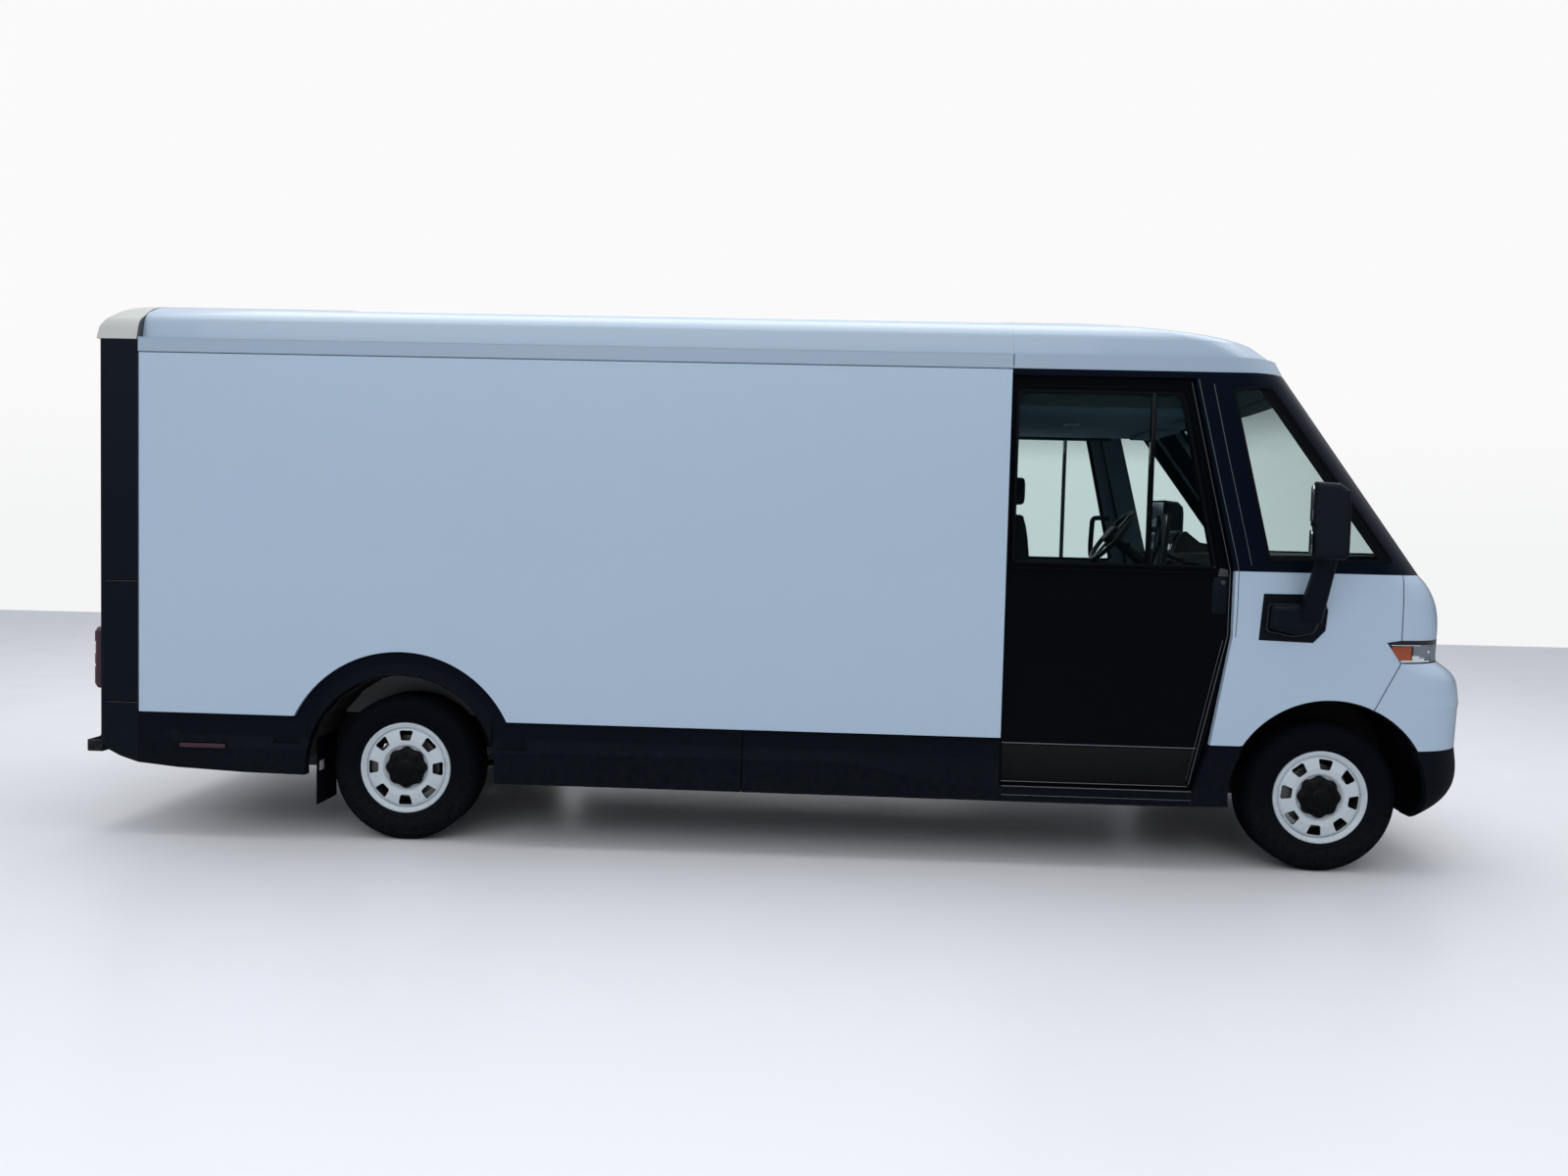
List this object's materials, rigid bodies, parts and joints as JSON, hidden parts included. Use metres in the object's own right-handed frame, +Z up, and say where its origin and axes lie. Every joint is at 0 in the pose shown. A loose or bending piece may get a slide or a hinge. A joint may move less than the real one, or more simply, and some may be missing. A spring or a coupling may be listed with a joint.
{
  "type": "electric cargo van",
  "caption": "Electric walk-in cargo van with pocket sliding cab doors, roll-up rear door and a hollow load space and cab.",
  "frame": {"origin": "on the ground, half way along the overall length, on the centre plane", "axes": "+X forward, +Y to the driver's side (left), +Z up"},
  "size_m": [7.1451, 2.863, 2.7816],
  "materials": {
    "body_white": "gloss",
    "roof_white": "satin",
    "cap_grey": "textured",
    "cladding_black": "textured",
    "gloss_black": "gloss",
    "satin_black": "satin",
    "chassis_black": "satin",
    "battery_grey": "satin",
    "floor_grey": "satin",
    "liner_grey": "satin",
    "glass_tint": "clear",
    "lamp_clear": "clear",
    "lamp_red": "gloss",
    "dash_black": "grained",
    "seat_fabric": "woven",
    "door_grey": "satin",
    "rim_white": "gloss",
    "tyre_rubber": "matte",
    "cast_metal": "rough",
    "unit_alloy": "cast",
    "step_black": "ribbed"
  },
  "bodies": {
    "van_body": {"chassis_frame": "chassis_black", "battery_pack": "battery_grey", "load_floor": "floor_grey", "cab_floor": "floor_grey", "cargo_side_right": "body_white", "cargo_side_left": "body_white", "door_pockets": "liner_grey", "cladding_right": "cladding_black", "cladding_left": "cladding_black", "roof_cargo": "roof_white", "roof_cab": "roof_white", "rear_portal": "satin_black", "rear_cap": "cap_grey", "rear_door": "door_grey", "rear_step": "step_black", "tail_lamps": "lamp_red", "mud_flaps": "cladding_black", "cab_frame": "satin_black", "windshield": "glass_tint", "quarter_glass": "glass_tint", "fender_right": "body_white", "fender_left": "body_white", "nose_panel": "body_white", "headlamps": "lamp_clear", "front_band": "gloss_black", "bumper_upper": "body_white", "bumper_lower": "cladding_black", "mirrors": "cladding_black", "wipers": "cladding_black", "dashboard": "dash_black", "steering_column": "satin_black", "seat_base": "dash_black", "seat_cushion": "seat_fabric", "seat_back": "seat_fabric", "bulkhead": "floor_grey", "rear_axle": "chassis_black", "rear_springs": "chassis_black", "drive_units": "unit_alloy", "front_subframe": "chassis_black"},
    "knuckle_right": {"knuckle_right": "cast_metal"},
    "knuckle_left": {"knuckle_left": "cast_metal"},
    "wheel_front_right": {"rim_front_right": "rim_white", "tyre_front_right": "tyre_rubber"},
    "wheel_front_left": {"rim_front_left": "rim_white", "tyre_front_left": "tyre_rubber"},
    "wheel_rear_right": {"rim_rear_right": "rim_white", "tyre_rear_right": "tyre_rubber"},
    "wheel_rear_left": {"rim_rear_left": "rim_white", "tyre_rear_left": "tyre_rubber"},
    "side_door_right": {"side_door_right": "gloss_black", "door_glass_right": "glass_tint"},
    "side_door_left": {"side_door_left": "gloss_black", "door_glass_left": "glass_tint"},
    "steering_wheel": {"steering_wheel": "dash_black"},
    "hood": {"hood": "body_white"},
    "bulkhead_door": {"bulkhead_door": "door_grey"}
  },
  "joints": [
    {"name": "steer_right", "type": "hinge", "parent": "van_body", "child": "knuckle_right", "pos_m": [2.7575, -0.91, 0.378], "axis": [0, 0, 1], "range_deg": [-35, 35]},
    {"name": "steer_left", "type": "hinge", "parent": "van_body", "child": "knuckle_left", "pos_m": [2.7575, 0.91, 0.378], "axis": [0, 0, 1], "range_deg": [-35, 35]},
    {"name": "steering_wheel_turn", "type": "hinge", "parent": "van_body", "child": "steering_wheel", "pos_m": [2.0475, 0.48, 1.68], "axis": [-0.7771, 0, 0.6293], "range_deg": [-500, 500]},
    {"name": "spin_front_right", "type": "hinge", "parent": "knuckle_right", "child": "wheel_front_right", "pos_m": [2.7575, -0.91, 0.378], "axis": [0, 1, 0], "continuous": true},
    {"name": "spin_front_left", "type": "hinge", "parent": "knuckle_left", "child": "wheel_front_left", "pos_m": [2.7575, 0.91, 0.378], "axis": [0, 1, 0], "continuous": true},
    {"name": "spin_rear_right", "type": "hinge", "parent": "van_body", "child": "wheel_rear_right", "pos_m": [-1.9025, -0.91, 0.378], "axis": [0, 1, 0], "continuous": true},
    {"name": "spin_rear_left", "type": "hinge", "parent": "van_body", "child": "wheel_rear_left", "pos_m": [-1.9025, 0.91, 0.378], "axis": [0, 1, 0], "continuous": true},
    {"name": "side_door_right_slide", "type": "slide", "parent": "van_body", "child": "side_door_right", "axis": [-1, 0, 0], "range_m": [0, 0.9]},
    {"name": "side_door_left_slide", "type": "slide", "parent": "van_body", "child": "side_door_left", "axis": [-1, 0, 0], "range_m": [0, 0.9]},
    {"name": "hood_hinge", "type": "hinge", "parent": "van_body", "child": "hood", "pos_m": [3.3635, 0, 1.4437], "axis": [0, -1, 0], "range_deg": [0, 50]},
    {"name": "bulkhead_door_slide", "type": "slide", "parent": "van_body", "child": "bulkhead_door", "axis": [0, 1, 0], "range_m": [0, 0.61]}
  ],
  "couplings": [
    {"joint": "steer_left", "follows": "steer_right", "ratio": 1},
    {"joint": "steering_wheel_turn", "follows": "steer_right", "ratio": 14}
  ]
}
